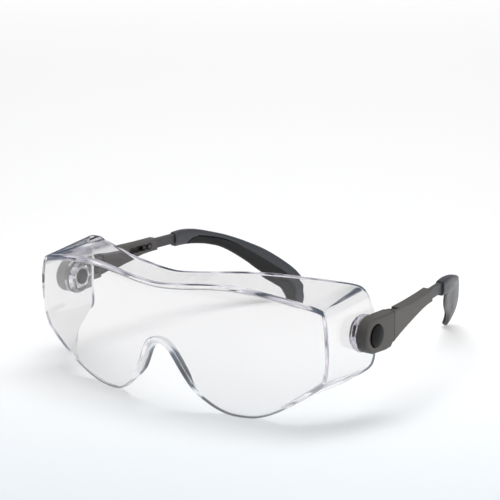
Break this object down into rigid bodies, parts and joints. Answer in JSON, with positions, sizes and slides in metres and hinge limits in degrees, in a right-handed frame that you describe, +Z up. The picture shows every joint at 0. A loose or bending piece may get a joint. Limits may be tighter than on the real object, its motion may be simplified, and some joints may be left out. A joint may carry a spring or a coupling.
{
  "type": "over-spectacle eye protector",
  "caption": "Clear one-piece wraparound eye protector worn over spectacles, with grey temples that tilt, fold and slide to length.",
  "frame": {"origin": "On the table, under the middle of the whole, between the lens and the temple tips.", "axes": "+X is the wearer's left, +Y runs from the lens to the ears, +Z is up."},
  "size_m": [0.16, 0.1726, 0.0585],
  "materials": {
    "clear_lens": "Clear polycarbonate with a hard coat, faint grey to lavender at its edges.",
    "temple_plastic": "Warm dark grey nylon with a fine satin texture.",
    "button_plastic": "Near-black satin plastic with a soft dome.",
    "washer_plastic": "Plain grey acetal.",
    "slider_plastic": "Cool mid-grey satin plastic.",
    "slate_plastic": "Dark slate satin plastic.",
    "soft_pad": "Matt black thermoplastic elastomer.",
    "pin_steel": "Plain steel wire pin."
  },
  "bodies": {
    "lens": {"lens_shield": "clear_lens", "left_hex_insert": "clear_lens", "left_detent_washer": "washer_plastic", "left_pivot_stud": "button_plastic", "right_hex_insert": "clear_lens", "right_detent_washer": "washer_plastic", "right_pivot_stud": "button_plastic"},
    "left_head": {"left_temple_head": "temple_plastic", "left_hinge_pin": "pin_steel"},
    "left_arm": {"left_temple_arm": "temple_plastic"},
    "left_end": {"left_length_slider": "slider_plastic", "left_slider_catch": "slider_plastic", "left_temple_end": "slate_plastic", "left_end_pad": "soft_pad"},
    "right_head": {"right_temple_head": "temple_plastic", "right_hinge_pin": "pin_steel"},
    "right_arm": {"right_temple_arm": "temple_plastic"},
    "right_end": {"right_length_slider": "slider_plastic", "right_slider_catch": "slider_plastic", "right_temple_end": "slate_plastic", "right_end_pad": "soft_pad"}
  },
  "joints": [
    {"name": "left_tilt", "type": "hinge", "parent": "lens", "child": "left_head", "pos_m": [0.0734, -0.04686, 0.0351], "axis": [1, 0, 0], "range_deg": [-8, 8]},
    {"name": "left_fold", "type": "hinge", "parent": "left_head", "child": "left_arm", "pos_m": [0.0748, -0.03046, 0.03545], "axis": [0, 0, 1], "range_deg": [0, 88]},
    {"name": "left_length", "type": "slide", "parent": "left_arm", "child": "left_end", "axis": [-0.129, 0.9916, 0], "range_m": [-0.0108, 0]},
    {"name": "right_tilt", "type": "hinge", "parent": "lens", "child": "right_head", "pos_m": [-0.0734, -0.04686, 0.0351], "axis": [1, 0, 0], "range_deg": [-8, 8]},
    {"name": "right_fold", "type": "hinge", "parent": "right_head", "child": "right_arm", "pos_m": [-0.0748, -0.03046, 0.03545], "axis": [0, 0, -1], "range_deg": [0, 70]},
    {"name": "right_length", "type": "slide", "parent": "right_arm", "child": "right_end", "axis": [0.129, 0.9916, 0], "range_m": [-0.0108, 0]}
  ]
}
